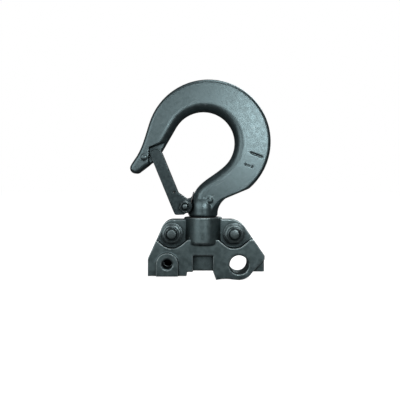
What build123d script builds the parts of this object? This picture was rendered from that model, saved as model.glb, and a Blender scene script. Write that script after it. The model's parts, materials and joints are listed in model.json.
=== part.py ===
from build123d import *
import math
import os

os.makedirs("parts", exist_ok=True)

# Origin at the middle of the hoist pin bore; Z runs up the swivel axis, Y through the block.
swivel_x = -27.0

# Forged hook
hook_thickness = 19.0
bowl_radius = 24.0
bowl_centre = (0.3, 92.0)
back_radius = 47.0
back_centre = (4.2, 92.7)
inner_rounding = 6.5
outer_rounding = 2.5
shank_radius = 11.3
neck_radius = 7.0
thread_step = 1.0
mark_depth = 0.6
pip_height = 0.8
gauge_height = 1.0

# Yoke halves
half_depth = 11.0
land_depth = 6.5
boss_depth = 13.5
yoke_top = 33.8
collar_radius = 14.5
collar_bottom = 14.9
collar_top = 35.3
collar_foot_rounding = 2.0
pin_bore_radius = 7.0
pin_lobe_radius = 11.4
anchor_x = -26.9
anchor_z = 0.7
anchor_radius = 3.5
anchor_thread_radius = 3.0
anchor_thread_depth = 9.0
anchor_arch_radius = 8.3
recess_width = 15.0
recess_top = 6.9
recess_floor = 5.0

# Yoke fasteners, M8, and the dowels between the halves
bolt_x = 23.4
bolt_z = 23.4
bolt_radius = 4.0
bolt_hole_clearance = 0.25
bolt_flats = 13.0
washer_radius = 8.0
washer_thickness = 1.6
nut_height = 5.6
nut_crown_wall = 1.1
nut_crown_height = 2.0
bolt_end = 1.0
head_height = 5.3
washer_surround = 3.2
dowel_radius = 2.0
dowel_length = 12.0
dowel_places = ((-34.5, 9.5), (17.0, 6.5))

# Thrust bearing and its space in the collar
running_clearance = 0.08
race_thickness = 1.8
ball_land = 0.65
ball_count = 12
groove_clearance = 0.05
collar_wall = 2.5
race_bore_gap = 0.3
bearing_clearance = 0.4
flange_thickness = 6.0
hook_nut_height = 6.3
hook_nut_flats = 17.0
lock_pin_radius = 1.25
seal_thickness = 1.4
seal_recess = 0.9
seal_width = 3.2

# Latch and its hinge, M5
pivot = (-13.5, 43.8)
latch_lean = 22.3
latch_side_gap = 0.4
latch_sheet = 1.5
latch_near = -1.06
latch_far = -9.8
latch_length = 44.2
web_start = 11.5
eye_radius = 5.3
hinge_radius = 2.5
hinge_clearance = 0.08
hinge_flats = 8.0
hinge_nut_height = 4.0
hinge_crown_height = 1.0
end_float = 0.1
tip_half = 5.9
lug_front = 2.2
lug_radius = 5.2
eye_surround = 1.1
wire_radius = 0.6
coil_radius = 3.7
coil_gap = 0.06
coil_turns = 1.98

thread_radius = neck_radius - thread_step
nut_crown_radius = bolt_radius + nut_crown_wall
land_pocket_radius = washer_radius + washer_surround
cavity_radius = collar_radius - collar_wall
race_outer = cavity_radius - bearing_clearance
race_inner = neck_radius + race_bore_gap
race_middle = (race_inner + race_outer) / 2
ball_radius = (race_outer - race_inner) / 2 - ball_land
race_gap = ball_radius * 4 / 3
cage_thickness = race_gap * 0.55
seal_outer = neck_radius + seal_width
cavity_top = collar_top - flange_thickness
ball_level = cavity_top - race_thickness - race_gap / 2
lower_race_top = ball_level - race_gap / 2
nut_top = lower_race_top - race_thickness
nut_bottom = nut_top - hook_nut_height
cavity_bottom = nut_bottom - 0.6
thread_end = nut_bottom - 2.2
shank_bottom = collar_top + seal_thickness - seal_recess + running_clearance
latch_inner = tip_half + latch_side_gap
latch_outer = latch_inner + latch_sheet
spot_face_radius = eye_radius + eye_surround
coil_pitch = 2 * wire_radius + coil_gap
hook_half = hook_thickness / 2


def front(y):
    """Plane facing the front at the given Y; X is counted from the swivel axis."""
    return Plane(origin=(swivel_x, y, 0), x_dir=(1, 0, 0), z_dir=(0, -1, 0))


def level(z):
    """Horizontal plane centred on the swivel axis."""
    return Plane(origin=(swivel_x, 0, z), x_dir=(1, 0, 0), z_dir=(0, 0, 1))


def on_circle(centre, radius, degrees):
    a = math.radians(degrees)
    return (centre[0] + radius * math.cos(a), centre[1] + radius * math.sin(a))


def latch_point(across, along):
    """Point counted across and along the latch bar from the hinge."""
    a = math.radians(latch_lean)
    x = pivot[0] + across * math.cos(a) - along * math.sin(a)
    z = pivot[1] + across * math.sin(a) + along * math.cos(a)
    return (x, z)


def edges_through(edges, points, y):
    """Edges passing through the given front-view points on the face at Y."""
    found = []
    for x, z in points:
        spot = Vertex(swivel_x + x, y, z)
        found += [e for e in edges if e.distance_to(spot) < 0.02]
    return found


swivel_axis = Axis((swivel_x, 0, 0), (0, 0, 1))
hinge_place = (swivel_x + pivot[0], 0, pivot[1])
lobe_x = -swivel_x


def yoke_outline():
    """Outline shared by both yoke halves, clockwise from the lower left corner."""
    lobe_low = -5.8
    lobe_start = (lobe_x + math.sqrt(pin_lobe_radius ** 2 - lobe_low ** 2), lobe_low)
    lobe_mid = on_circle((lobe_x, 0), pin_lobe_radius, -60)
    lobe_end = (lobe_x, -pin_lobe_radius)
    Polyline((7.5, -5.4), (-12.2, -5.4), (-12.2, -8.4), (-41.5, -8.4), (-41.5, 4.7), (-31.9, 26.2))
    ThreePointArc((-31.9, 26.2), (-29.0, 31.2), (-23.9, yoke_top))
    Line((-23.9, yoke_top), (22.4, yoke_top))
    ThreePointArc((22.4, yoke_top), (28.5, 31.3), (32.8, 26.6))
    Polyline((32.8, 26.6), (46.3, 6.9), (46.3, lobe_low), lobe_start)
    ThreePointArc(lobe_start, lobe_mid, lobe_end)
    wave = (lobe_x - 9.0, 0.8 - pin_lobe_radius)
    Spline(lobe_end, wave, (9.8, -11.4), tangents=[(-1, 0), (-1, -0.2)])
    Line((9.8, -11.4), (7.5, -5.4))


def land_cut(side):
    """Flared outline of the set-back land round one yoke bolt."""
    foot_x = land_pocket_radius * math.cos(math.radians(50))
    foot_z = bolt_z - land_pocket_radius * math.sin(math.radians(50))
    spread = 16.0
    flare_z = foot_z + spread * math.tan(math.radians(40))
    middle = side * bolt_x
    left = [(middle - foot_x, foot_z), (middle - foot_x - spread, flare_z)]
    right = [(middle + foot_x + spread, flare_z), (middle + foot_x, foot_z)]
    top = [(middle - foot_x - spread, yoke_top + 2), (middle + foot_x + spread, yoke_top + 2)]
    return left + top + right


# Common shape of the two yoke halves, front side
with BuildPart() as yoke_blank:
    with BuildSketch(front(0)):
        with BuildLine():
            yoke_outline()
        make_face()
    extrude(amount=land_depth)
    with BuildSketch(front(0)):
        with BuildLine():
            yoke_outline()
        make_face()
        for end in (-1, 1):
            with BuildLine():
                Polyline(*land_cut(end), close=True)
            make_face(mode=Mode.SUBTRACT)
            with Locations((end * bolt_x, bolt_z)):
                Circle(land_pocket_radius, mode=Mode.SUBTRACT)
        with Locations((0, yoke_top)):
            Rectangle(100, 2 * (yoke_top - 18.6), mode=Mode.SUBTRACT)
        with BuildLine():
            Polyline((47, 4.6), (47, -7), (37.6, -7), (37.2, -5.4), (41.2, -1.2), close=True)
        make_face(mode=Mode.SUBTRACT)
    extrude(amount=half_depth)
    with BuildSketch(front(0)):
        with Locations((anchor_x, anchor_z)):
            Circle(anchor_arch_radius)
        with Locations((anchor_x, (anchor_z - 8.4) / 2)):
            Rectangle(2 * anchor_arch_radius, anchor_z + 8.4)
    extrude(amount=boss_depth)
    with BuildSketch(level(collar_bottom)):
        Circle(collar_radius)
        with Locations((0, collar_radius)):
            Rectangle(2 * collar_radius, 2 * collar_radius, mode=Mode.SUBTRACT)
    extrude(amount=collar_top - collar_bottom)
    collar_foot = yoke_blank.edges().filter_by(GeomType.CIRCLE).filter_by(
        lambda e: abs(e.radius - collar_radius) < 0.01 and abs(e.center().Z - collar_bottom) < 0.01
        and e.center().Y < -half_depth)
    fillet(collar_foot, radius=collar_foot_rounding)
    with BuildSketch(front(-recess_floor)):
        with Locations((0, recess_top - 10)):
            Rectangle(recess_width, 20)
    extrude(amount=boss_depth, mode=Mode.SUBTRACT)
    with BuildSketch(level(cavity_top - 1)):
        Circle(neck_radius + running_clearance)
    extrude(amount=flange_thickness + 2, mode=Mode.SUBTRACT)
    with BuildSketch(level(collar_top - seal_recess)):
        Circle(seal_outer + 0.1)
    extrude(amount=seal_recess + 1, mode=Mode.SUBTRACT)
    with BuildSketch(level(cavity_bottom)):
        Circle(cavity_radius)
    extrude(amount=cavity_top - cavity_bottom, mode=Mode.SUBTRACT)
    with BuildSketch(level(thread_end - 0.8)):
        Circle(thread_radius + 1.2)
    extrude(amount=cavity_bottom - thread_end + 1, mode=Mode.SUBTRACT)
    with BuildSketch(front(0)):
        for end in (-1, 1):
            with Locations((end * bolt_x, bolt_z)):
                Circle(bolt_radius + bolt_hole_clearance)
        with Locations((lobe_x, 0)):
            Circle(pin_bore_radius)
    extrude(amount=half_depth, mode=Mode.SUBTRACT)
    with BuildSketch(front(0)):
        with Locations(*dowel_places):
            Circle(dowel_radius)
    extrude(amount=dowel_length / 2 + 0.3, mode=Mode.SUBTRACT)
    pin_rim = yoke_blank.edges().filter_by(GeomType.CIRCLE).filter_by(
        lambda e: abs(e.radius - pin_bore_radius) < 0.01 and e.center().Y < -half_depth + 0.1)
    chamfer(pin_rim, length=0.7)

with BuildPart() as yoke_front_half:
    add(yoke_blank.part)
    with BuildSketch(front(0)):
        with Locations((anchor_x, anchor_z)):
            Circle(anchor_radius)
    extrude(amount=boss_depth, mode=Mode.SUBTRACT)
    anchor_rim = yoke_front_half.edges().filter_by(GeomType.CIRCLE).filter_by(
        lambda e: abs(e.radius - anchor_radius) < 0.01 and e.center().Y < -boss_depth + 0.1)
    chamfer(anchor_rim, length=1.0)
yoke_front_half.part.label = "yoke_front_half"
export_step(yoke_front_half.part, "parts/yoke_front_half.step")

with BuildPart() as yoke_rear_half:
    add(mirror(yoke_blank.part, about=Plane.XZ))
    with BuildSketch(front(0)):
        with Locations((anchor_x, anchor_z)):
            Circle(anchor_thread_radius)
    extrude(amount=-anchor_thread_depth, mode=Mode.SUBTRACT)
yoke_rear_half.part.label = "yoke_rear_half"
export_step(yoke_rear_half.part, "parts/yoke_rear_half.step")

for side_name, side in (("left", -1), ("right", 1)):
    place = (side * bolt_x, bolt_z)
    seat = land_depth + washer_thickness

    with BuildPart() as yoke_bolt:
        with BuildSketch(front(seat + head_height)):
            with Locations(place):
                RegularPolygon(bolt_flats / 2, 6, major_radius=False, rotation=10)
        extrude(amount=head_height)
        chamfer(yoke_bolt.faces().sort_by(Axis.Y)[-1].edges(), length=0.6)
        with BuildSketch(front(seat)):
            with Locations(place):
                Circle(bolt_radius)
        extrude(amount=2 * seat + nut_height + nut_crown_height + bolt_end)
        chamfer(yoke_bolt.faces().sort_by(Axis.Y)[0].edges(), length=0.7)
    yoke_bolt.part.label = f"yoke_bolt_{side_name}"
    export_step(yoke_bolt.part, f"parts/yoke_bolt_{side_name}.step")

    with BuildPart() as yoke_nut:
        with BuildSketch(front(-seat)):
            with Locations(place):
                RegularPolygon(bolt_flats / 2, 6, major_radius=False, rotation=side * 4)
        extrude(amount=nut_height)
        chamfer(yoke_nut.faces().sort_by(Axis.Y)[0].edges(), length=0.5)
        with BuildSketch(front(-seat)):
            with Locations(place):
                Circle(nut_crown_radius)
        extrude(amount=nut_height + nut_crown_height)
        fillet(yoke_nut.faces().sort_by(Axis.Y)[0].edges(), radius=0.8)
        with BuildSketch(front(-seat)):
            with Locations(place):
                Circle(bolt_radius + 0.05)
        extrude(amount=nut_height + nut_crown_height, mode=Mode.SUBTRACT)
    yoke_nut.part.label = f"yoke_nut_{side_name}"
    export_step(yoke_nut.part, f"parts/yoke_nut_{side_name}.step")

    for washer_name, washer_start in (("nut_washer", -land_depth), ("head_washer", seat)):
        with BuildPart() as washer:
            with BuildSketch(front(washer_start)):
                with Locations(place):
                    Circle(washer_radius)
                    Circle(bolt_radius + 0.2, mode=Mode.SUBTRACT)
            extrude(amount=washer_thickness)
            outer_rims = washer.edges().filter_by(
                lambda e: e.geom_type == GeomType.CIRCLE and e.radius > washer_radius - 0.1)
            chamfer(outer_rims, length=0.25)
        washer.part.label = f"{washer_name}_{side_name}"
        export_step(washer.part, f"parts/{washer_name}_{side_name}.step")

for dowel_name, dowel_place in zip(("left", "right"), dowel_places):
    with BuildPart() as dowel:
        with BuildSketch(front(dowel_length / 2)):
            with Locations(dowel_place):
                Circle(dowel_radius - 0.01)
        extrude(amount=dowel_length)
        chamfer(dowel.edges().filter_by(GeomType.CIRCLE), length=0.4)
    dowel.part.label = f"dowel_pin_{dowel_name}"
    export_step(dowel.part, f"parts/dowel_pin_{dowel_name}.step")

with BuildPart() as dust_seal:
    with BuildSketch(level(collar_top - seal_recess)):
        Circle(seal_outer)
        Circle(neck_radius + running_clearance, mode=Mode.SUBTRACT)
    extrude(amount=seal_thickness)
dust_seal.part.label = "dust_seal"
export_step(dust_seal.part, "parts/dust_seal.step")

# The two races share one ring shape; the groove faces the balls
for race_name, race_base, race_bore in (
    ("thrust_race_upper", cavity_top - race_thickness, race_inner),
    ("thrust_race_lower", nut_top, neck_radius + 0.05),
):
    with BuildPart() as race:
        with BuildSketch(level(race_base)):
            Circle(race_outer)
            Circle(race_bore, mode=Mode.SUBTRACT)
        extrude(amount=race_thickness)
        with BuildSketch(front(0)):
            with Locations((race_middle, ball_level)):
                Circle(ball_radius + groove_clearance)
        revolve(axis=swivel_axis, revolution_arc=360, mode=Mode.SUBTRACT)
    race.part.label = race_name
    export_step(race.part, f"parts/{race_name}.step")

with BuildPart() as bearing_cage:
    with BuildSketch(level(ball_level - cage_thickness / 2)):
        Circle(race_outer - 0.3)
        Circle(race_inner + 0.2, mode=Mode.SUBTRACT)
        with PolarLocations(race_middle, ball_count):
            Circle(ball_radius + groove_clearance, mode=Mode.SUBTRACT)
    extrude(amount=cage_thickness)
bearing_cage.part.label = "bearing_cage"
export_step(bearing_cage.part, "parts/bearing_cage.step")

with BuildPart() as bearing_balls:
    with Locations(level(ball_level)):
        with PolarLocations(race_middle, ball_count):
            Sphere(ball_radius)
bearing_balls.part.label = "bearing_balls"
export_step(bearing_balls.part, "parts/bearing_balls.step")

# Hook: flat forged body, round shank, neck and thread, hinge lug and latch pocket
bowl_low = on_circle(bowl_centre, bowl_radius, -50)
bowl_high = on_circle(bowl_centre, bowl_radius, 60)
bowl_leave = on_circle(bowl_centre, bowl_radius, 150)
back_high = on_circle(back_centre, back_radius, 160)
back_top = on_circle(back_centre, back_radius, 50)
back_low = on_circle(back_centre, back_radius, -57)
tip_corner = (-31.2, 85.5)
nose_start = (-48.6, 69.3)
nose_low = (-54.0, 69.6)
nose_end = (-54.7, 74.6)
shank_left = -7.3
body_bottom = 37.0

with BuildPart() as hook:
    with BuildSketch(front(hook_half)):
        with BuildLine():
            Line((shank_left, body_bottom), (shank_left, 49.0))
            rise = (math.cos(math.radians(40)), math.sin(math.radians(40)))
            neck_curve = Spline(
                (shank_left, 49.0), (-5.4, 56.0), (0.0, 61.9), bowl_low, tangents=[(0, 1), rise])
            ThreePointArc(bowl_low, bowl_high, bowl_leave)
            Line(bowl_leave, tip_corner)
            Line(tip_corner, (-38.5, 77.0))
            Line((-38.5, 77.0), nose_start)
            ThreePointArc(nose_start, nose_low, nose_end)
            up = (math.sin(math.radians(20)), math.cos(math.radians(20)))
            outer_curve = Spline(
                nose_end, (-50.4, 81.3), (-45.9, 90.5), back_high, tangents=[(0.5, 1), up])
            ThreePointArc(back_high, back_top, back_low)
            down = (-math.cos(math.radians(33)), -math.sin(math.radians(33)))
            heel_curve = Spline(
                back_low, (19.6, 49.1), (13.4, 43.4), (shank_radius, body_bottom), tangents=[down, (0, -1)])
            Line((shank_radius, body_bottom), (shank_left, body_bottom))
        make_face()
    extrude(amount=hook_thickness)
    inner_line = ((bowl_leave[0] + tip_corner[0]) / 2, (bowl_leave[1] + tip_corner[1]) / 2)
    inner_points = [(-5.4, 56.0), bowl_high, inner_line]
    heel_points = [(19.6, 49.1)]
    outer_points = [(-45.9, 90.5), back_top, nose_low]
    soft_edges = []
    hard_edges = []
    for face_y in (-hook_half, hook_half):
        soft_edges += edges_through(hook.edges(), inner_points, face_y)
        hard_edges += edges_through(hook.edges(), outer_points + heel_points, face_y)
    fillet(soft_edges, radius=inner_rounding)
    fillet(hard_edges, radius=outer_rounding)
    with BuildSketch(front(0)):
        with BuildLine():
            Polyline((0, 30), (shank_radius, 30), (shank_radius, 39.0))
            ThreePointArc((shank_radius, 39.0), (13.0, 44.4), (17.5, 49.5))
            Polyline((17.5, 49.5), (80, 76), (80, 150), (0, 150), (0, 30))
        make_face()
    revolve(axis=swivel_axis, revolution_arc=360, mode=Mode.INTERSECT)
    with BuildSketch(front(0)):
        with BuildLine():
            Polyline((0, thread_end), (thread_radius - 0.7, thread_end), (thread_radius, thread_end + 0.7),
                     (thread_radius, nut_top), (neck_radius, nut_top), (neck_radius, shank_bottom),
                     (shank_radius - 0.8, shank_bottom), (shank_radius, shank_bottom + 0.8),
                     (shank_radius, 41.0))
            ThreePointArc((shank_radius, 41.0), (10.6, 47.0), (7.4, 53.0))
            Polyline((7.4, 53.0), (0, 56.0), (0, thread_end))
        make_face()
    revolve(axis=swivel_axis, revolution_arc=360)
    for face_start, depth in ((-lug_front, hook_thickness), (hook_thickness + tip_half, hook_thickness)):
        with BuildSketch(front(face_start)):
            with Locations(pivot):
                Circle(spot_face_radius)
            with BuildLine():
                Polyline((pivot[0], pivot[1]), (shank_left, pivot[1]), (shank_left, 49.5),
                         (-5.9, 55.5), (-4, 60), (pivot[0], 60), close=True)
            make_face()
        extrude(amount=depth, mode=Mode.SUBTRACT)
    with BuildSketch(front(tip_half)):
        with Locations(pivot):
            Circle(lug_radius)
        with BuildLine():
            Polyline((pivot[0], pivot[1] - lug_radius), (-4, 37.6), (-4, 51.5),
                     (pivot[0], pivot[1] + lug_radius), close=True)
        make_face()
    extrude(amount=tip_half + lug_front)
    with BuildSketch(front(hook_half)):
        with Locations(pivot):
            Circle(hinge_radius + 0.05)
    extrude(amount=hook_thickness, mode=Mode.SUBTRACT)
    for face_start in (-tip_half, hook_thickness + tip_half):
        with BuildSketch(front(face_start)):
            with BuildLine():
                Polyline((-41.0, 88.1), (-26.0, 93.7), (-20, 93.7), (-20, 60), (-41.0, 60), close=True)
            make_face()
        extrude(amount=hook_thickness, mode=Mode.SUBTRACT)
    # Gauge bosses and the sunk wear marks on the front face
    with BuildSketch(front(-hook_half + 1)):
        with Locations((-44.5, 81.0)):
            Circle(2.1)
    extrude(amount=1 + pip_height)
    with BuildSketch(front(-hook_half + 1)):
        with Locations((5.1, 48.6)):
            Circle(1.9)
    extrude(amount=1 + gauge_height)
    with BuildSketch(front(-hook_half + mark_depth)):
        with Locations(Location(on_circle(back_centre, back_radius - 9.6, -15.7), -21.8)):
            SlotOverall(10.5, 1.4)
        strokes = on_circle(back_centre, back_radius - 11.5, -31.4)
        for step in (-1, 0, 1):
            with Locations(Location((strokes[0] + 2.4 * step, strokes[1] - 0.8 * step), 40 * step)):
                Rectangle(2.4, 1.2)
    extrude(amount=2, mode=Mode.SUBTRACT)
    with BuildSketch(Plane(origin=(swivel_x - 15, 0, nut_bottom + hook_nut_height / 2), z_dir=(1, 0, 0))):
        Circle(lock_pin_radius + 0.02)
    extrude(amount=30, mode=Mode.SUBTRACT)
hook.part.label = "hook"
export_step(hook.part, "parts/hook.step")

with BuildPart() as hook_nut:
    with BuildSketch(level(nut_bottom)):
        RegularPolygon(hook_nut_flats / 2, 6, major_radius=False)
    extrude(amount=hook_nut_height)
    with BuildSketch(level(nut_bottom)):
        Circle(thread_radius + 0.05)
    extrude(amount=hook_nut_height, mode=Mode.SUBTRACT)
    across_nut = Plane(origin=(swivel_x - 15, 0, nut_bottom + hook_nut_height / 2), z_dir=(1, 0, 0))
    with BuildSketch(across_nut):
        Circle(lock_pin_radius + 0.02)
    extrude(amount=30, mode=Mode.SUBTRACT)
hook_nut.part.label = "hook_nut"
export_step(hook_nut.part, "parts/hook_nut.step")

with BuildPart() as nut_lock_pin:
    pin_start = hook_nut_flats / 2 - 0.1
    pin_level = nut_bottom + hook_nut_height / 2
    with BuildSketch(Plane(origin=(swivel_x - pin_start, 0, pin_level), z_dir=(1, 0, 0))):
        Circle(lock_pin_radius)
    extrude(amount=2 * pin_start)
nut_lock_pin.part.label = "nut_lock_pin"
export_step(nut_lock_pin.part, "parts/nut_lock_pin.step")

with BuildPart() as latch_bolt:
    head_seat = latch_outer + end_float
    with BuildSketch(front(head_seat + 3.5)):
        with Locations(pivot):
            RegularPolygon(hinge_flats / 2, 6, major_radius=False, rotation=15)
    extrude(amount=3.5)
    chamfer(latch_bolt.faces().sort_by(Axis.Y)[-1].edges(), length=0.4)
    with BuildSketch(front(head_seat)):
        with Locations(pivot):
            Circle(hinge_radius)
    extrude(amount=2 * head_seat + hinge_nut_height + hinge_crown_height + 0.5)
    chamfer(latch_bolt.faces().sort_by(Axis.Y)[0].edges(), length=0.45)
latch_bolt.part.label = "latch_bolt"
export_step(latch_bolt.part, "parts/latch_bolt.step")

with BuildPart() as latch_nut:
    with BuildSketch(front(-head_seat)):
        with Locations(pivot):
            RegularPolygon(hinge_flats / 2, 6, major_radius=False, rotation=22)
    extrude(amount=hinge_nut_height)
    chamfer(latch_nut.faces().sort_by(Axis.Y)[0].edges(), length=0.35)
    with BuildSketch(front(-head_seat)):
        with Locations(pivot):
            Circle(hinge_flats / 2 - 0.5)
    extrude(amount=hinge_nut_height + hinge_crown_height)
    fillet(latch_nut.faces().sort_by(Axis.Y)[0].edges(), radius=0.5)
    with BuildSketch(front(-head_seat)):
        with Locations(pivot):
            Circle(hinge_radius + 0.05)
    extrude(amount=hinge_nut_height + hinge_crown_height, mode=Mode.SUBTRACT)
latch_nut.part.label = "latch_nut"
export_step(latch_nut.part, "parts/latch_nut.step")

# Latch: U-shaped bar with its web on the bowl side and two eyes on the hinge bolt
bar_middle = (latch_near + latch_far) / 2
bar_end_radius = (latch_near - latch_far) / 2
with BuildPart() as latch:
    with BuildSketch(front(latch_outer)):
        with BuildLine():
            near_foot = latch_point(latch_near, web_start)
            near_top = latch_point(latch_near, latch_length)
            end_top = latch_point(bar_middle, latch_length + bar_end_radius)
            far_top = latch_point(latch_far, latch_length)
            far_foot = latch_point(latch_far, 0.2)
            eye_top = on_circle(pivot, eye_radius, 62)
            eye_low = on_circle(pivot, eye_radius, -82)
            eye_side = on_circle(pivot, eye_radius, 0)
            Line(near_foot, near_top)
            ThreePointArc(near_top, end_top, far_top)
            Polyline(far_top, far_foot, (-21.3, 37.6), (-20.3, 37.2), (-14.4, 37.4), eye_low)
            ThreePointArc(eye_low, eye_side, eye_top)
            Line(eye_top, near_foot)
        make_face()
    extrude(amount=2 * latch_outer)
    with BuildSketch(front(latch_inner)):
        inside = latch_near - latch_sheet
        corners = [(-20, -20), (-20, 60), (inside, 60), (inside, web_start), (20, web_start), (20, -20)]
        with BuildLine():
            Polyline(*[latch_point(across, along) for across, along in corners], close=True)
        make_face()
        over_web = [(inside - 1, latch_length), (inside - 1, 60), (20, 60), (20, latch_length)]
        with BuildLine():
            Polyline(*[latch_point(across, along) for across, along in over_web], close=True)
        make_face()
    extrude(amount=2 * latch_inner, mode=Mode.SUBTRACT)
    with BuildSketch(front(latch_outer)):
        with Locations(pivot):
            Circle(hinge_radius + hinge_clearance)
    extrude(amount=2 * latch_outer, mode=Mode.SUBTRACT)
    leg_end = latch_point(-coil_radius, 13.0)
    with BuildSketch(front(0)):
        with Locations(leg_end):
            Circle(wire_radius + 0.2)
    extrude(amount=latch_outer, mode=Mode.SUBTRACT)
latch.part.label = "latch"
export_step(latch.part, "parts/latch.step")

# Torsion spring beside the lug, one leg on the hook and one hooked into the latch
coil_start = -lug_front - 0.3 - wire_radius
coil_stop = coil_start - coil_turns * coil_pitch
with BuildPart() as latch_spring:
    with BuildLine():
        coil = Helix(
            pitch=coil_pitch, height=coil_turns * coil_pitch, radius=coil_radius,
            center=(hinge_place[0], coil_start, hinge_place[2]), direction=(0, -1, 0))
    with BuildSketch(Plane(origin=coil @ 0, z_dir=coil % 0)):
        Circle(wire_radius)
    sweep(path=coil, is_frenet=True)
    hook_leg_start = (swivel_x + pivot[0] + coil_radius, coil_start, pivot[1] - 0.3)
    with BuildSketch(Plane(origin=hook_leg_start, z_dir=(0.25, 0, 0.968))):
        Circle(wire_radius)
    extrude(amount=11.3)
    leg_foot = latch_point(-coil_radius, -0.35)
    leg_lean = math.radians(latch_lean)
    leg_origin = (swivel_x + leg_foot[0], coil_stop, leg_foot[1])
    with BuildSketch(Plane(origin=leg_origin, z_dir=(-math.sin(leg_lean), 0, math.cos(leg_lean)))):
        Circle(wire_radius)
    extrude(amount=13.0 + wire_radius + 0.7)
    with BuildSketch(front(coil_stop + 0.1)):
        with Locations(leg_end):
            Circle(wire_radius - 0.02)
    extrude(amount=latch_outer - 0.2 + coil_stop)
latch_spring.part.label = "latch_spring"
export_step(latch_spring.part, "parts/latch_spring.step")
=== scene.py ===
import json
import math

import bmesh
import bpy
from mathutils import Matrix, Vector


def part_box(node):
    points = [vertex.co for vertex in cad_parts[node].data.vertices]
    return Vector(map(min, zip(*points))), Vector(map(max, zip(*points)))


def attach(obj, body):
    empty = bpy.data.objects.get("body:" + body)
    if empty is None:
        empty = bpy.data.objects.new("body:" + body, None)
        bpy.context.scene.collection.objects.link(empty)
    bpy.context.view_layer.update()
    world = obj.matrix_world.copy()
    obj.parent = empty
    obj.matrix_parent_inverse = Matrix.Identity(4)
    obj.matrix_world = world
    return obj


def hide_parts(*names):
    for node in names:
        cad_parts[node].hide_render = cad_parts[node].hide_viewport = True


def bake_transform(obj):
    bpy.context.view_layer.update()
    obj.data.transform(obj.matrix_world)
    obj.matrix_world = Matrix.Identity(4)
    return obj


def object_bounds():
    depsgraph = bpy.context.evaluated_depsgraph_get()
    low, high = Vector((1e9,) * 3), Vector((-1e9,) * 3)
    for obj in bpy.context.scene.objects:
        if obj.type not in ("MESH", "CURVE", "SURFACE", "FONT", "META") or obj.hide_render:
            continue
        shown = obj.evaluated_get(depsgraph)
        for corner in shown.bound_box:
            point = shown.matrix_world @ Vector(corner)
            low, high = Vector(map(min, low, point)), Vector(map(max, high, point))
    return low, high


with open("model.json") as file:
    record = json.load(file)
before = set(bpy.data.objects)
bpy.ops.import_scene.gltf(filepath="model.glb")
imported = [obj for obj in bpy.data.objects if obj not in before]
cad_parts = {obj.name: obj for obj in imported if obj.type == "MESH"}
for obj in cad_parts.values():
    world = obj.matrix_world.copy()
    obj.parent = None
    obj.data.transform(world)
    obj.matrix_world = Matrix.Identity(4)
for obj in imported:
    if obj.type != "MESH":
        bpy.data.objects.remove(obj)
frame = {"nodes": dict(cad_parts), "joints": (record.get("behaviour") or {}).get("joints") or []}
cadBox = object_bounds()
mm = 0.001
sharpAngle = math.radians(38)
scene = bpy.context.scene
joints = {j["name"]: j for j in frame["joints"]}
hinge = Vector(joints["latch_hinge"]["pos_m"])
print("frame loaded:", len(frame["nodes"]), "nodes")


# small helpers for shader trees

def mathNode(tree, operation, a, b=None, clamp=False):
    node = tree.nodes.new("ShaderNodeMath")
    node.operation = operation
    node.use_clamp = clamp
    for socket, value in zip(node.inputs, (a, b)):
        if isinstance(value, (int, float)):
            socket.default_value = value
        elif value is not None:
            tree.links.new(value, socket)
    return node.outputs[0]


def noiseNode(tree, vector, scale, detail=4.0, roughness=0.55):
    node = tree.nodes.new("ShaderNodeTexNoise")
    node.inputs["Detail"].default_value = detail
    node.inputs["Roughness"].default_value = roughness
    if isinstance(scale, (int, float)):
        node.inputs["Scale"].default_value = scale
    else:
        tree.links.new(scale, node.inputs["Scale"])
    tree.links.new(vector, node.inputs["Vector"])
    return node.outputs[0]


def rangeNode(tree, value, low, high, toLow=0.0, toHigh=1.0):
    node = tree.nodes.new("ShaderNodeMapRange")
    node.interpolation_type = "SMOOTHSTEP"
    for label, number in (("From Min", low), ("From Max", high), ("To Min", toLow), ("To Max", toHigh)):
        if isinstance(number, (int, float)):
            node.inputs[label].default_value = number
        else:
            tree.links.new(number, node.inputs[label])
    tree.links.new(value, node.inputs["Value"])
    return node.outputs[0]


def mixColour(tree, factor, a, b):
    node = tree.nodes.new("ShaderNodeMix")
    node.data_type = "RGBA"
    for index, value in ((0, factor), (6, a), (7, b)):
        if isinstance(value, (int, float)):
            node.inputs[index].default_value = value
        elif isinstance(value, tuple):
            node.inputs[index].default_value = (*value, 1.0)
        else:
            tree.links.new(value, node.inputs[index])
    return node.outputs[2]


def newGroup(name, inputs, outputs):
    tree = bpy.data.node_groups.new(name, "ShaderNodeTree")
    for label, kind, value in inputs:
        socket = tree.interface.new_socket(label, in_out="INPUT", socket_type=kind)
        if value is not None:
            socket.default_value = value
    for label, kind in outputs:
        tree.interface.new_socket(label, in_out="OUTPUT", socket_type=kind)
    return tree, tree.nodes.new("NodeGroupInput"), tree.nodes.new("NodeGroupOutput")


def useGroup(tree, group, vector=None, **values):
    node = tree.nodes.new("ShaderNodeGroup")
    node.node_tree = group
    for name, value in values.items():
        node.inputs[name].default_value = value
    if vector is not None:
        tree.links.new(vector, node.inputs["Vector"])
    return node


# effects shared by the finishes
skinMix = {"grain": 0.45, "swell": 0.9, "pits": 0.35, "pitReach": (0.05, 0.4), "mottleScale": 2.2,
           "mottle": (0.35, 0.65)}
wearMix = {"jitter": 0.06, "nook": (0.25, 0.92), "nookSamples": 6}
rubMix = {"stretch": (0.07, 0.5, 1.0), "soft": 0.06, "patchScale": 55.0, "patch": (0.45, 0.62)}


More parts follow.
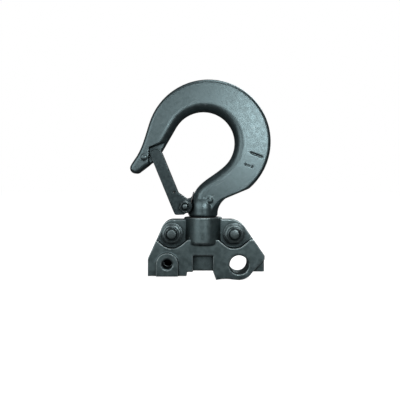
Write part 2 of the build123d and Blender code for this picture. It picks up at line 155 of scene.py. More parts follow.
def makeForgedSkin():
    # uneven surface of a blasted forging or casting under its coat
    tree, start, end = newGroup(
        "forgedSkin",
        (("Vector", "NodeSocketVector", None), ("GrainScale", "NodeSocketFloat", 900.0),
         ("SwellScale", "NodeSocketFloat", 90.0), ("PitScale", "NodeSocketFloat", 420.0),
         ("PitAmount", "NodeSocketFloat", 0.4)),
        (("Height", "NodeSocketFloat"), ("Mottle", "NodeSocketFloat")))
    vector = start.outputs["Vector"]
    grain = noiseNode(tree, vector, start.outputs["GrainScale"], 3.0, 0.6)
    swell = noiseNode(tree, vector, start.outputs["SwellScale"], 3.0, 0.5)
    cells = tree.nodes.new("ShaderNodeTexVoronoi")
    cells.feature = "SMOOTH_F1"
    tree.links.new(vector, cells.inputs["Vector"])
    tree.links.new(start.outputs["PitScale"], cells.inputs["Scale"])
    pits = rangeNode(tree, cells.outputs["Distance"], *skinMix["pitReach"], 1.0, 0.0)
    pits = mathNode(tree, "MULTIPLY", pits, start.outputs["PitAmount"])
    grainPart = mathNode(tree, "MULTIPLY", grain, skinMix["grain"])
    swellPart = mathNode(tree, "MULTIPLY", swell, skinMix["swell"])
    pitPart = mathNode(tree, "MULTIPLY", pits, skinMix["pits"])
    height = mathNode(tree, "SUBTRACT", mathNode(tree, "ADD", grainPart, swellPart), pitPart)
    mottleScale = mathNode(tree, "MULTIPLY", start.outputs["SwellScale"], skinMix["mottleScale"])
    mottle = noiseNode(tree, vector, mottleScale, 5.0, 0.65)
    tree.links.new(height, end.inputs["Height"])
    tree.links.new(rangeNode(tree, mottle, *skinMix["mottle"]), end.inputs["Mottle"])
    return tree


def makeEdgeWear():
    # coat rubbed thin on ridges, with a painted edge highlight on top; dirt and painted shade kept in the
    # hollows and enclosed corners
    tree, start, end = newGroup(
        "edgeWear",
        (("Vector", "NodeSocketVector", None), ("WearFrom", "NodeSocketFloat", 0.52),
         ("WearTo", "NodeSocketFloat", 0.6), ("DirtFrom", "NodeSocketFloat", 0.49),
         ("DirtTo", "NodeSocketFloat", 0.42), ("BreakScale", "NodeSocketFloat", 500.0),
         ("NookReach", "NodeSocketFloat", 0.007)),
        (("Worn", "NodeSocketFloat"), ("Dirt", "NodeSocketFloat")))
    shape = tree.nodes.new("ShaderNodeNewGeometry")
    patchy = noiseNode(tree, start.outputs["Vector"], start.outputs["BreakScale"], 4.0, 0.6)
    jitter = mathNode(tree, "MULTIPLY", mathNode(tree, "SUBTRACT", patchy, 0.5), wearMix["jitter"])
    bend = mathNode(tree, "ADD", shape.outputs["Pointiness"], jitter)
    # ridges lightened: partly coat wear, partly a painted edge highlight along the edges
    worn = rangeNode(tree, bend, start.outputs["WearFrom"], start.outputs["WearTo"])
    # concave creases darkened: partly dirt, partly painted shade
    crease = rangeNode(tree, bend, start.outputs["DirtTo"], start.outputs["DirtFrom"], 1.0, 0.0)
    # painted shade: an ambient-occlusion probe darkens surfaces closed in by nearby geometry
    nook = tree.nodes.new("ShaderNodeAmbientOcclusion")
    nook.samples = wearMix["nookSamples"]
    tree.links.new(start.outputs["NookReach"], nook.inputs["Distance"])
    shut = rangeNode(tree, nook.outputs["AO"], *wearMix["nook"], 1.0, 0.0)
    dirt = mathNode(tree, "MAXIMUM", crease, shut)
    tree.links.new(worn, end.inputs["Worn"])
    tree.links.new(dirt, end.inputs["Dirt"])
    return tree


def makeRubMarks():
    # short thin streaks where slings and shackles have slid over the coat
    tree, start, end = newGroup(
        "rubMarks",
        (("Vector", "NodeSocketVector", None), ("Slant", "NodeSocketFloat", 0.6),
         ("Thinness", "NodeSocketFloat", 900.0), ("From", "NodeSocketFloat", 0.66)),
        (("Rubbed", "NodeSocketFloat"),))
    turned = tree.nodes.new("ShaderNodeVectorRotate")
    turned.rotation_type = "Y_AXIS"
    tree.links.new(start.outputs["Vector"], turned.inputs["Vector"])
    tree.links.new(start.outputs["Slant"], turned.inputs["Angle"])
    stretched = tree.nodes.new("ShaderNodeMapping")
    stretched.inputs["Scale"].default_value = rubMix["stretch"]
    tree.links.new(turned.outputs[0], stretched.inputs["Vector"])
    streak = noiseNode(tree, stretched.outputs[0], start.outputs["Thinness"], 2.0, 0.5)
    field = noiseNode(tree, start.outputs["Vector"], rubMix["patchScale"], 2.0, 0.5)
    full = mathNode(tree, "ADD", start.outputs["From"], rubMix["soft"])
    thin = rangeNode(tree, streak, start.outputs["From"], full)
    area = rangeNode(tree, field, *rubMix["patch"])
    tree.links.new(mathNode(tree, "MULTIPLY", thin, area), end.inputs["Rubbed"])
    return tree


forgedSkin = makeForgedSkin()
edgeWear = makeEdgeWear()
rubMarks = makeRubMarks()


def coatedSteel(spec):
    # dark coat over rough steel: mottled colour, ridges lightened by wear and a painted edge highlight,
    # hollows darkened by dirt and painted shade and dulled
    material = bpy.data.materials.new(spec["name"])
    material.use_nodes = True
    tree = material.node_tree
    shader = tree.nodes["Principled BSDF"]
    place = tree.nodes.new("ShaderNodeTexCoord").outputs["Object"]
    skin = useGroup(tree, forgedSkin, place, GrainScale=spec["grain"], SwellScale=spec["swell"],
                    PitScale=spec["pits"], PitAmount=spec["pitAmount"])
    wear = useGroup(tree, edgeWear, place, WearFrom=spec["wear"][0], WearTo=spec["wear"][1],
                    DirtFrom=spec["dirt"][0], DirtTo=spec["dirt"][1], NookReach=spec["nook"])
    colour = mixColour(tree, skin.outputs["Mottle"], spec["dark"], spec["light"])
    # dirt and painted shade: hollows and enclosed corners darkened towards the dark colour
    dirtFactor = mathNode(tree, "MULTIPLY", wear.outputs["Dirt"], spec["dirtAmount"])
    colour = mixColour(tree, dirtFactor, colour, spec["dirtColour"])
    marks = useGroup(tree, rubMarks, place, Slant=spec["slant"], Thinness=spec["streaks"])
    rubbed = mathNode(tree, "MULTIPLY", marks.outputs["Rubbed"], spec["rubAmount"])
    # wear and painted edge highlight: ridges lightened towards the worn colour; rub streaks are real wear
    wearFactor = mathNode(tree, "MULTIPLY", wear.outputs["Worn"], spec["wearAmount"])
    wearFactor = mathNode(tree, "MAXIMUM", wearFactor, rubbed)
    colour = mixColour(tree, wearFactor, colour, spec["wornColour"])
    tree.links.new(colour, shader.inputs["Base Color"])
    rough = rangeNode(tree, skin.outputs["Mottle"], 0.0, 1.0, spec["roughness"][0], spec["roughness"][1])
    dulled = mathNode(tree, "MULTIPLY", dirtFactor, spec["dirtDulls"])
    rough = mathNode(tree, "ADD", rough, dulled, clamp=True)
    tree.links.new(rough, shader.inputs["Roughness"])
    shader.inputs["Metallic"].default_value = spec["metallic"]
    shader.inputs["Specular IOR Level"].default_value = 0.5
    bump = tree.nodes.new("ShaderNodeBump")
    bump.inputs["Strength"].default_value = spec["bump"]
    bump.inputs["Distance"].default_value = spec["bumpDepth"]
    tree.links.new(skin.outputs["Height"], bump.inputs["Height"])
    tree.links.new(bump.outputs["Normal"], shader.inputs["Normal"])
    return material


# the hook coat's dark hollow colour is dirt and painted shade; its worn colour is wear and a painted edge
# highlight
hookCoat = {
    "name": "hookCoat", "dark": (0.150, 0.212, 0.226), "light": (0.176, 0.243, 0.257),
    "wornColour": (0.42, 0.50, 0.52), "dirtColour": (0.02, 0.032, 0.036),
    "grain": 2600.0, "swell": 150.0, "pits": 900.0, "pitAmount": 0.35,
    "wear": (0.515, 0.57), "wearAmount": 0.4, "nook": 0.007, "dirt": (0.485, 0.42), "dirtAmount": 0.9,
    "dirtDulls": 0.15,
    "roughness": (0.34, 0.40), "metallic": 0.85, "bump": 0.11, "bumpDepth": 0.0003,
    "slant": 0.5, "streaks": 1100.0, "rubAmount": 0.35,
}
# yoke: near-black colour for dirt and painted shade, with a wider shade reach into the pockets, and a bright
# worn colour that also paints highlight lines on the edges
yokeCoat = dict(
    hookCoat, name="yokeCoat", dark=(0.170, 0.238, 0.250), light=(0.212, 0.290, 0.303),
    wornColour=(0.60, 0.72, 0.73), dirtColour=(0.004, 0.008, 0.010),
    wear=(0.506, 0.535), nook=0.011, dirt=(0.492, 0.44), roughness=(0.34, 0.44), wearAmount=0.75)
latchCoat = dict(
    hookCoat, name="latchCoat", dark=(0.062, 0.090, 0.097), light=(0.080, 0.112, 0.119),
    grain=3000.0, swell=170.0, pitAmount=0.3, bump=0.2, roughness=(0.33, 0.43))
fastenerCoat = dict(
    hookCoat, name="fastenerCoat", dark=(0.19, 0.25, 0.262), light=(0.225, 0.29, 0.3),
    wornColour=(0.36, 0.42, 0.43), grain=2600.0, swell=500.0, pits=1500.0, pitAmount=0.2,
    bump=0.12, roughness=(0.28, 0.38), metallic=0.85, wear=(0.56, 0.68), wearAmount=0.25)
bearingSteel = dict(
    fastenerCoat, name="bearingSteel", dark=(0.42, 0.42, 0.42), light=(0.5, 0.5, 0.5),
    wornColour=(0.7, 0.7, 0.7), dirtColour=(0.12, 0.1, 0.08), roughness=(0.18, 0.3), metallic=1.0,
    bump=0.08)
springSteel = dict(
    bearingSteel, name="springSteel", dark=(0.33, 0.35, 0.36), light=(0.42, 0.44, 0.45),
    roughness=(0.25, 0.35))
cageBrass = dict(
    bearingSteel, name="cageBrass", dark=(0.5, 0.36, 0.14), light=(0.62, 0.46, 0.2),
    wornColour=(0.8, 0.65, 0.35))
sealRubber = dict(
    hookCoat, name="sealRubber", dark=(0.012, 0.013, 0.014), light=(0.02, 0.021, 0.022),
    wornColour=(0.06, 0.06, 0.06), dirtColour=(0.03, 0.028, 0.025), grain=2500.0, pitAmount=0.2,
    roughness=(0.55, 0.7), metallic=0.0, bump=0.2)
finishes = {
    "hook_paint": coatedSteel(hookCoat),
    "yoke_paint": coatedSteel(yokeCoat),
    "latch_paint": coatedSteel(latchCoat),
    "fastener_steel": coatedSteel(fastenerCoat),
    "bearing_steel": coatedSteel(bearingSteel),
    "spring_steel": coatedSteel(springSteel),
    "cage_brass": coatedSteel(cageBrass),
    "seal_rubber": coatedSteel(sealRubber),
}
print("finishes ready:", len(finishes))


def newPiece(name, mesh, slot, nodes):
    piece = bpy.data.objects.new(name, mesh)
    scene.collection.objects.link(piece)
    mesh.materials.clear()
    mesh.materials.append(finishes[slot])
    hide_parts(*nodes)
    return piece


def addPiece(name, mesh, slot, body, nodes):
    piece = newPiece(name, mesh, slot, nodes)
    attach(piece, body)
    return piece


def plainMesh(worker):
    # result of the worker's modifiers as one mesh; the worker goes
    shown = worker.evaluated_get(bpy.context.evaluated_depsgraph_get())
    mesh = bpy.data.meshes.new_from_object(shown)
    bpy.data.objects.remove(worker)
    return mesh


# forged and cast pieces: the solid's edges are melted round, as a die or a mould leaves them
castPieces = (
    {"name": "forgedHook", "node": "hook", "body": "hook", "slot": "hook_paint",
     "voxel": 0.50 * mm, "rounds": 8, "unevenness": 0.06 * mm, "uneven": 16 * mm},
    {"name": "yokeFrontCasting", "node": "yoke_front_half", "body": "yoke", "slot": "yoke_paint",
     "voxel": 0.42 * mm, "rounds": 4, "unevenness": 0.08 * mm, "uneven": 9 * mm},
    {"name": "yokeRearCasting", "node": "yoke_rear_half", "body": "yoke", "slot": "yoke_paint",
     "voxel": 0.42 * mm, "rounds": 4, "unevenness": 0.08 * mm, "uneven": 9 * mm},
    {"name": "latchChannel", "node": "latch", "body": "latch", "slot": "latch_paint",
     "voxel": 0.30 * mm, "rounds": 6, "unevenness": 0.03 * mm, "uneven": 8 * mm},
)


def castPiece(spec):
    mesh = frame["nodes"][spec["node"]].data.copy()
    work = bmesh.new()
    work.from_mesh(mesh)
    bmesh.ops.remove_doubles(work, verts=work.verts, dist=0.0005 * mm)
    work.to_mesh(mesh)
    work.free()
    worker = bpy.data.objects.new(spec["name"] + "Work", mesh)
    scene.collection.objects.link(worker)
    remesh = worker.modifiers.new("skin", "REMESH")
    remesh.mode = "VOXEL"
    remesh.voxel_size = spec["voxel"]
    soften = worker.modifiers.new("soften", "SMOOTH")
    soften.factor = 0.5
    soften.iterations = spec["rounds"]
    clouds = bpy.data.textures.new(spec["name"] + "Clouds", "CLOUDS")
    clouds.noise_scale = spec["uneven"]
    waves = worker.modifiers.new("waves", "DISPLACE")
    waves.texture = clouds
    waves.strength = spec["unevenness"]
    waves.mid_level = 1.0
    result = plainMesh(worker)
    result.name = spec["name"]
    result.shade_smooth()
    return addPiece(spec["name"], result, spec["slot"], spec["body"], [spec["node"]])


for spec in castPieces:
    piece = castPiece(spec)
    print("cast piece", piece.name, len(piece.data.polygons), "faces")


# turned and milled pieces: rings of points round an axis, each with a radius that may be a hexagon's
def hexRadius(angle, flats):
    part = (angle + math.pi / 6) % (math.pi / 3) - math.pi / 6
    return flats / 2 / math.cos(part)


def ringPoint(ring, angle, chamferRadius):
    kind, radius, height = ring
    if kind == "round":
        return radius, height
    corner = hexRadius(angle, radius)
    drop = max(0.0, corner - chamferRadius) * math.tan(math.radians(30))
    if kind == "hexTop":
        return corner, height - drop
    return corner, height + drop


def turnedMesh(name, rings, turn=0.0, chamferRadius=1.0, closed=True, steps=96):
    work = bmesh.new()
    loops = []
    for ring in rings:
        if ring[1] == 0:
            loops.append([work.verts.new((0, 0, ring[2]))])
            continue
        loop = []
        for i in range(steps):
            angle = 2 * math.pi * i / steps
            radius, height = ringPoint(ring, angle, chamferRadius)
            x = radius * math.cos(angle + turn)
            y = radius * math.sin(angle + turn)
            loop.append(work.verts.new((x, y, height)))
        loops.append(loop)
    pairs = list(zip(loops, loops[1:]))
    if closed:
        pairs.append((loops[-1], loops[0]))
    for a, b in pairs:
        for i in range(steps):
            j = (i + 1) % steps
            if len(a) == 1:
                work.faces.new((a[0], b[j], b[i]))
            elif len(b) == 1:
                work.faces.new((a[i], a[j], b[0]))
            else:
                work.faces.new((a[i], a[j], b[j], b[i]))
    bmesh.ops.recalc_face_normals(work, faces=work.faces)
    mesh = bpy.data.meshes.new(name)
    work.to_mesh(mesh)
    work.free()
    mesh.shade_smooth()
    mesh.set_sharp_from_angle(angle=sharpAngle)
    return mesh


def standAlongY(mesh, x, y, z, towardsFront=True):
    # the ring axis is turned from Z to the front (-Y) or the rear (+Y)
    side = 1 if towardsFront else -1
    mesh.transform(Matrix.Translation((x, y, z)) @ Matrix.Rotation(side * math.pi / 2, 4, "X"))
    return mesh


# geometry trees for thread, wire and balls
def newTree(name, inputs):
    tree = bpy.data.node_groups.new(name, "GeometryNodeTree")
    tree.interface.new_socket("Geometry", in_out="INPUT", socket_type="NodeSocketGeometry")
    for label, kind in inputs:
        tree.interface.new_socket(label, in_out="INPUT", socket_type=kind)
    tree.interface.new_socket("Geometry", in_out="OUTPUT", socket_type="NodeSocketGeometry")
    return tree, tree.nodes.new("NodeGroupInput"), tree.nodes.new("NodeGroupOutput")


def endTree(tree, start, end, geometry):
    smooth = tree.nodes.new("GeometryNodeSetShadeSmooth")
    realize = tree.nodes.new("GeometryNodeRealizeInstances")
    paint = tree.nodes.new("GeometryNodeSetMaterial")
    tree.links.new(geometry, smooth.inputs[0])
    tree.links.new(smooth.outputs[0], realize.inputs[0])
    tree.links.new(realize.outputs[0], paint.inputs["Geometry"])
    tree.links.new(start.outputs["Finish"], paint.inputs["Material"])
    tree.links.new(paint.outputs[0], end.inputs[0])


def makeThreadTree():
    tree, start, end = newTree("threadRidge", (
        ("Radius", "NodeSocketFloat"), ("Turns", "NodeSocketFloat"), ("Length", "NodeSocketFloat"),
        ("Ridge", "NodeSocketFloat"), ("Finish", "NodeSocketMaterial")))
    spiral = tree.nodes.new("GeometryNodeCurveSpiral")
    spiral.inputs["Resolution"].default_value = 40
    for label in ("Start Radius", "End Radius"):
        tree.links.new(start.outputs["Radius"], spiral.inputs[label])
    tree.links.new(start.outputs["Turns"], spiral.inputs["Rotations"])
    tree.links.new(start.outputs["Length"], spiral.inputs["Height"])
    profile = tree.nodes.new("GeometryNodeCurvePrimitiveCircle")
    profile.inputs["Resolution"].default_value = 6
    tree.links.new(start.outputs["Ridge"], profile.inputs["Radius"])
    skin = tree.nodes.new("GeometryNodeCurveToMesh")
    skin.inputs["Fill Caps"].default_value = True
    tree.links.new(spiral.outputs[0], skin.inputs["Curve"])
    tree.links.new(profile.outputs[0], skin.inputs["Profile Curve"])
    endTree(tree, start, end, skin.outputs[0])
    return tree


def makeWireTree():
    tree, start, end = newTree("drawnWire", (
        ("Wire Radius", "NodeSocketFloat"), ("Finish", "NodeSocketMaterial")))
    path = tree.nodes.new("GeometryNodeMeshToCurve")
    tree.links.new(start.outputs["Geometry"], path.inputs["Mesh"])
    profile = tree.nodes.new("GeometryNodeCurvePrimitiveCircle")
    profile.inputs["Resolution"].default_value = 14
    tree.links.new(start.outputs["Wire Radius"], profile.inputs["Radius"])
    skin = tree.nodes.new("GeometryNodeCurveToMesh")
    skin.inputs["Fill Caps"].default_value = True
    tree.links.new(path.outputs[0], skin.inputs["Curve"])
    tree.links.new(profile.outputs[0], skin.inputs["Profile Curve"])
    endTree(tree, start, end, skin.outputs[0])
    return tree


def makeBallTree():
    tree, start, end = newTree("ballRing", (
        ("Count", "NodeSocketInt"), ("Ring Radius", "NodeSocketFloat"), ("Ball Radius", "NodeSocketFloat"),
        ("Finish", "NodeSocketMaterial")))
    ring = tree.nodes.new("GeometryNodeMeshCircle")
    tree.links.new(start.outputs["Count"], ring.inputs["Vertices"])
    tree.links.new(start.outputs["Ring Radius"], ring.inputs["Radius"])
    ball = tree.nodes.new("GeometryNodeMeshUVSphere")
    ball.inputs["Segments"].default_value = 24
    ball.inputs["Rings"].default_value = 14
    tree.links.new(start.outputs["Ball Radius"], ball.inputs["Radius"])
    spread = tree.nodes.new("GeometryNodeInstanceOnPoints")
    tree.links.new(ring.outputs[0], spread.inputs["Points"])
    tree.links.new(ball.outputs[0], spread.inputs["Instance"])
    endTree(tree, start, end, spread.outputs[0])
    return tree


def runTree(tree, name, base, **values):
    worker = bpy.data.objects.new(name + "Work", base)
    scene.collection.objects.link(worker)
    modifier = worker.modifiers.new("make", "NODES")
    modifier.node_group = tree
    identifiers = {s.name: s.identifier for s in tree.interface.items_tree if s.in_out == "INPUT"}
    for label, value in values.items():
        modifier[identifiers[label.replace("_", " ")]] = value
    mesh = plainMesh(worker)
    mesh.name = name
    return mesh


def joined(name, meshes):
    work = bmesh.new()
    for mesh in meshes:
        work.from_mesh(mesh)
    result = bpy.data.meshes.new(name)
    work.to_mesh(result)
    work.free()
    result.set_sharp_from_angle(angle=sharpAngle)
    return result


threadRidge = makeThreadTree()
drawnWire = makeWireTree()
ballRing = makeBallTree()
yokeFastener = {
    "flats": 13.0 * mm, "chamfer": 6.25 * mm, "radius": 4.0 * mm, "pitch": 1.25 * mm, "nutHeight": 5.6 * mm,
    "crown": 5.1 * mm, "crownHeight": 2.0 * mm, "headHeight": 5.3 * mm, "turnHead": 40.0, "turnNut": 4.0,
    "threadLength": 3.6 * mm,
}
hingeFastener = {
    "flats": 8.0 * mm, "chamfer": 3.85 * mm, "radius": 2.5 * mm, "pitch": 0.8 * mm, "nutHeight": 4.0 * mm,
    "crown": 3.5 * mm, "crownHeight": 1.0 * mm, "headHeight": 3.5 * mm, "turnHead": 45.0, "turnNut": 52.0,
    "threadLength": 2.0 * mm,
}
nutShape = {
    "foot": 0.35 * mm, "roll": 0.7 * mm, "rollIn": 0.25 * mm, "rollDrop": 0.22 * mm, "lip": 0.8 * mm,
    "boreChamfer": 0.35 * mm, "boreGap": 0.05 * mm,
}
boltShape = {
    "threadDepth": 0.28 * mm, "dish": (0.55, 0.6), "dishDepth": 0.12 * mm, "fillet": 0.3 * mm,
    "relief": 0.6 * mm, "point": 0.9 * mm, "pointIn": 0.6 * mm, "tip": 0.1 * mm, "tipIn": 1.1 * mm,
    "threadShort": 1.2 * mm, "ridgeLift": 0.02 * mm, "ridge": (0.42, 0.62),
}
emptyMesh = bpy.data.meshes.new("emptyBase")


def lockNut(name, spec, turn):
    top = spec["nutHeight"]
    crown = spec["crown"]
    end = top + spec["crownHeight"]
    bore = spec["radius"] + nutShape["boreGap"]
    rings = [
        ("round", spec["chamfer"], 0.0), ("hexBottom", spec["flats"], 0.0), ("hexTop", spec["flats"], top),
        ("round", spec["chamfer"], top), ("round", crown + nutShape["foot"], top),
        ("round", crown, top + nutShape["foot"]), ("round", crown, end - nutShape["roll"]),
        ("round", crown - nutShape["rollIn"], end - nutShape["rollDrop"]),
        ("round", crown - nutShape["lip"], end), ("round", spec["radius"] + nutShape["boreChamfer"], end),
        ("round", bore, end - nutShape["boreChamfer"]), ("round", bore, 0.0),
    ]
    return turnedMesh(name, rings, math.radians(turn), spec["chamfer"])


def hexBolt(name, spec, length, turn):
    # axis from the head's top at height zero down to the thread's end
    head = spec["headHeight"]
    shank = spec["radius"]
    core = shank - boltShape["threadDepth"]
    dish = boltShape["dishDepth"]
    fillet = boltShape["fillet"]
    threadFrom = length - spec["threadLength"]
    rings = [
        ("round", 0, 0.0), ("round", spec["chamfer"] * boltShape["dish"][0], 0.0),
        ("round", spec["chamfer"] * boltShape["dish"][1], dish), ("round", spec["chamfer"], dish),
        ("hexBottom", spec["flats"], dish), ("hexTop", spec["flats"], head),
        ("round", spec["chamfer"], head), ("round", shank + fillet, head), ("round", shank, head + fillet),
        ("round", shank, threadFrom - boltShape["relief"]), ("round", core, threadFrom),
        ("round", core, length - boltShape["point"]),
        ("round", core - boltShape["pointIn"], length - boltShape["tip"]),
        ("round", core - boltShape["tipIn"], length), ("round", 0, length),
    ]
    body = turnedMesh(name, rings, math.radians(turn), spec["chamfer"], closed=False)
    run = spec["threadLength"] - boltShape["threadShort"]
    ridge = boltShape["ridge"][0] * spec["pitch"] * boltShape["ridge"][1]
    thread = runTree(threadRidge, name + "Thread", emptyMesh, Radius=core + boltShape["ridgeLift"],
                     Turns=run / spec["pitch"], Length=run, Ridge=ridge, Finish=finishes["fastener_steel"])
    thread.transform(Matrix.Translation((0, 0, threadFrom)))
    return joined(name, [body, thread])


washerShape = {"bore": 4.2 * mm, "edge": 0.3 * mm, "corner": 0.3}
for side, sign in (("left", -1), ("right", 1)):
    low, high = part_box("yoke_bolt_" + side)
    nutLow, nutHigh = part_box("yoke_nut_" + side)
    middle = (low + high) / 2
    bolt = hexBolt("yokeBolt" + side.title(), yokeFastener, high.y - low.y, yokeFastener["turnHead"])
    standAlongY(bolt, middle.x, high.y, middle.z)
    addPiece("yokeBolt" + side.title(), bolt, "fastener_steel", "yoke", ["yoke_bolt_" + side])
    nut = lockNut("yokeNut" + side.title(), yokeFastener, 30 + sign * yokeFastener["turnNut"])
    standAlongY(nut, middle.x, nutHigh.y, middle.z)
    addPiece("yokeNut" + side.title(), nut, "fastener_steel", "yoke", ["yoke_nut_" + side])
    for kind in ("nut_washer", "head_washer"):
        node = kind + "_" + side
        low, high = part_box(node)
        outer = (high.x - low.x) / 2
        thick = high.y - low.y
        inner = washerShape["bore"]
        edge = washerShape["edge"]
        corner = edge * washerShape["corner"]
        rings = [
            ("round", inner, edge), ("round", inner + edge, 0.0), ("round", outer - edge, 0.0),
            ("round", outer - corner, corner), ("round", outer, edge), ("round", outer, thick - edge),
            ("round", outer - corner, thick - corner), ("round", outer - edge, thick),
            ("round", inner + edge, thick), ("round", inner, thick - edge),
        ]
        washer = turnedMesh(node, rings)
        standAlongY(washer, middle.x, high.y, middle.z)
        name = kind.split("_")[0] + "Washer" + side.title()
        addPiece(name, washer, "fastener_steel", "yoke", [node])

low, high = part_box("latch_bolt")
nutLow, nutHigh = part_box("latch_nut")
bolt = standAlongY(hexBolt("hingeBolt", hingeFastener, high.y - low.y, hingeFastener["turnHead"]),
                   hinge.x, high.y, hinge.z)
addPiece("hingeBolt", bolt, "fastener_steel", "hook", ["latch_bolt"])
nut = standAlongY(lockNut("hingeNut", hingeFastener, hingeFastener["turnNut"]), hinge.x, nutHigh.y, hinge.z)
addPiece("hingeNut", nut, "fastener_steel", "hook", ["latch_nut"])
print("fasteners done")


# latch spring: leg on the hook, coil round the hinge, leg hooked into the latch
springWire = {
    "wire": 0.5 * mm, "coil": 3.7 * mm, "laps": 3, "near": -3.1 * mm, "far": -5.6 * mm,
    "hookLeg": 11.2 * mm, "legLean": math.radians(14.5), "latchLeg": 13.35 * mm, "foot": -0.35 * mm,
    "lean": math.radians(22.3), "perTurn": 48, "bend": 0.45 * mm,
    "latchEnd": -7.45 * mm, "windFrom": -3.7 * mm, "windTo": -5.0 * mm,
}


def springPath(spec):
    coil = spec["coil"]
    near = spec["near"]
    far = spec["far"]
    along = Vector((-math.sin(spec["lean"]), 0, math.cos(spec["lean"])))
    across = Vector((math.cos(spec["lean"]), 0, math.sin(spec["lean"])))
    legDirection = Vector((math.sin(spec["legLean"]), 0, math.cos(spec["legLean"])))
    points = [hinge + Vector((coil, near, 0)) + legDirection * spec["hookLeg"] * part
              for part in (1.0, 0.75, 0.5, 0.25, 0.08)]
    # the turns end where the latch's leg starts
    foot = hinge + across * -coil + along * spec["foot"]
    endAngle = math.atan2(foot.z - hinge.z, foot.x - hinge.x) % (2 * math.pi)
    total = 2 * math.pi * spec["laps"] - endAngle
    count = int(total / (2 * math.pi) * spec["perTurn"])
    for i in range(count + 1):
        part = i / count
        angle = -total * part
        height = near + (far - near) * part
        points.append(hinge + Vector((coil * math.cos(angle), height, coil * math.sin(angle))))
    start = foot + Vector((0, far, 0))
    points += [start + along * spec["latchLeg"] * part for part in (0.2, 0.5, 0.8)]
    corner = start + along * spec["latchLeg"]
    points.append(corner - along * spec["bend"])
    points.append(corner + Vector((0, -spec["bend"], 0)))
    points.append(Vector((corner.x, spec["latchEnd"], corner.z)))
    return points


route = springPath(springWire)
routeMesh = bpy.data.meshes.new("springRoute")
routeMesh.from_pydata(route, [(i, i + 1) for i in range(len(route) - 1)], [])
spring = runTree(drawnWire, "latchSpring", routeMesh, Wire_Radius=springWire["wire"],
                 Finish=finishes["spring_steel"])
springPiece = newPiece("latchSpring", spring, "spring_steel", ["latch_spring"])
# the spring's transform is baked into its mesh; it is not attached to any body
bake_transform(springPiece)

ballCount = 12
low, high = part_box("bearing_balls")
ballRadius = (high.z - low.z) / 2
balls = runTree(ballRing, "ballRing", emptyMesh, Count=ballCount,
                Ring_Radius=(high.x - low.x) / 2 - ballRadius, Ball_Radius=ballRadius,
                Finish=finishes["bearing_steel"])
balls.transform(Matrix.Translation((low + high) / 2))
addPiece("ballRing", balls, "bearing_steel", "ball_ring", ["bearing_balls"])

keptNodes = {
    "dowel_pin_left": "bearing_steel", "dowel_pin_right": "bearing_steel", "dust_seal": "seal_rubber",
    "thrust_race_upper": "bearing_steel", "thrust_race_lower": "bearing_steel", "bearing_cage": "cage_brass",
    "hook_nut": "fastener_steel", "nut_lock_pin": "bearing_steel",
}
for node, slot in keptNodes.items():
    kept = frame["nodes"][node]
    kept.data.materials.clear()
    kept.data.materials.append(finishes[slot])
print("spring, bearing and inner pieces done")


# floor, light and camera
studio = {
    "floorSize": 6.0, "keyPlace": (0.08, -0.43, 0.15), "keySize": 0.12, "keyPower": 0.39,
    "fillPlace": (-0.35, -0.5, 0.16), "fillSize": 0.45, "fillPower": 0.75,
    "topPlace": (0.06, -0.2, 0.6), "topSize": 0.3, "topPower": 0.65,
    "rearPlace": (0.3, 0.42, 0.55), "rearSize": 0.5, "rearPower": 2.8, "surround": 0.045,
    "surroundColour": (0.95, 0.98, 1, 1), "floorDark": (0.05, 0.05, 0.05, 1), "floorRoughness": 0.9,
    "floorLit": (0.5, 0.5, 0.5, 1), "floorGlow": 0.985, "floorGap": 0.1 * mm,
}
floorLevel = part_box("yoke_front_half")[0].z - studio["floorGap"]
half = studio["floorSize"] / 2
floorMesh = bpy.data.meshes.new("floor")
floorMesh.from_pydata(
    [(x * half, y * half, floorLevel) for x, y in ((-1, -1), (1, -1), (1, 1), (-1, 1))],
    [], [(0, 1, 2, 3)])
floor = bpy.data.objects.new("floor", floorMesh)
scene.collection.objects.link(floor)
floorPaint = bpy.data.materials.new("floorPaint")
floorPaint.use_nodes = True
tree = floorPaint.node_tree
shader = tree.nodes["Principled BSDF"]
shader.inputs["Base Color"].default_value = studio["floorDark"]
shader.inputs["Roughness"].default_value = studio["floorRoughness"]
shader.inputs["Specular IOR Level"].default_value = 0.0
glow = tree.nodes.new("ShaderNodeEmission")
glow.inputs["Strength"].default_value = studio["floorGlow"]
lit = tree.nodes.new("ShaderNodeBsdfDiffuse")
lit.inputs["Color"].default_value = studio["floorLit"]
seen = tree.nodes.new("ShaderNodeAddShader")
tree.links.new(glow.outputs[0], seen.inputs[0])
tree.links.new(lit.outputs[0], seen.inputs[1])
lightPath = tree.nodes.new("ShaderNodeLightPath")
blend = tree.nodes.new("ShaderNodeMixShader")
tree.links.new(lightPath.outputs["Is Camera Ray"], blend.inputs[0])
tree.links.new(shader.outputs[0], blend.inputs[1])
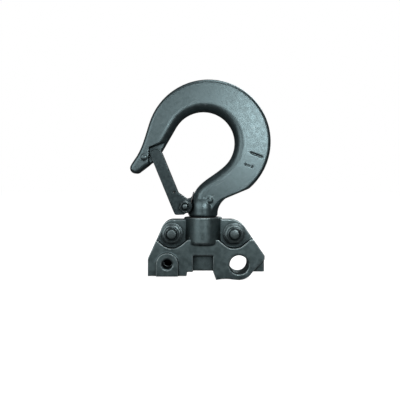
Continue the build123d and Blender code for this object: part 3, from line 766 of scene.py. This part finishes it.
tree.links.new(seen.outputs[0], blend.inputs[2])
tree.links.new(blend.outputs[0], tree.nodes["Material Output"].inputs["Surface"])
floorMesh.materials.append(floorPaint)


def areaLight(name, place, size, power, target):
    light = bpy.data.lights.new(name, "AREA")
    light.shape = "DISK"
    light.size = size
    light.energy = power
    lamp = bpy.data.objects.new(name, light)
    lamp.location = place
    lamp.rotation_euler = (Vector(target) - Vector(place)).to_track_quat("-Z", "Y").to_euler()
    scene.collection.objects.link(lamp)


middle = (cadBox[0] + cadBox[1]) / 2
for name in ("key", "fill", "top", "rear"):
    areaLight(name, studio[name + "Place"], studio[name + "Size"], studio[name + "Power"], middle)

world = bpy.data.worlds.new("studioWorld")
scene.world = world
world.use_nodes = True
tree = world.node_tree
tree.nodes.clear()
pathNode = tree.nodes.new("ShaderNodeLightPath")
shown = tree.nodes.new("ShaderNodeBackground")
shown.inputs["Color"].default_value = (1, 1, 1, 1)
shown.inputs["Strength"].default_value = 1.0
lighting = tree.nodes.new("ShaderNodeBackground")
lighting.inputs["Color"].default_value = studio["surroundColour"]
lighting.inputs["Strength"].default_value = studio["surround"]
blend = tree.nodes.new("ShaderNodeMixShader")
output = tree.nodes.new("ShaderNodeOutputWorld")
tree.links.new(pathNode.outputs["Is Camera Ray"], blend.inputs[0])
tree.links.new(lighting.outputs[0], blend.inputs[1])
tree.links.new(shown.outputs[0], blend.inputs[2])
tree.links.new(blend.outputs[0], output.inputs["Surface"])
scene.view_settings.view_transform = "Standard"

cameraSpec = {"place": (-0.0293, -0.427, 0.0629), "lens": 50.0, "shiftY": -0.0475, "sensor": 36.0}
cameraData = bpy.data.cameras.new("camera")
cameraData.lens = cameraSpec["lens"]
cameraData.sensor_width = cameraSpec["sensor"]
cameraData.shift_y = cameraSpec["shiftY"]
camera = bpy.data.objects.new("camera", cameraData)
camera.location = cameraSpec["place"]
camera.rotation_euler = (math.pi / 2, 0, 0)
scene.collection.objects.link(camera)
scene.camera = camera
print("studio ready")
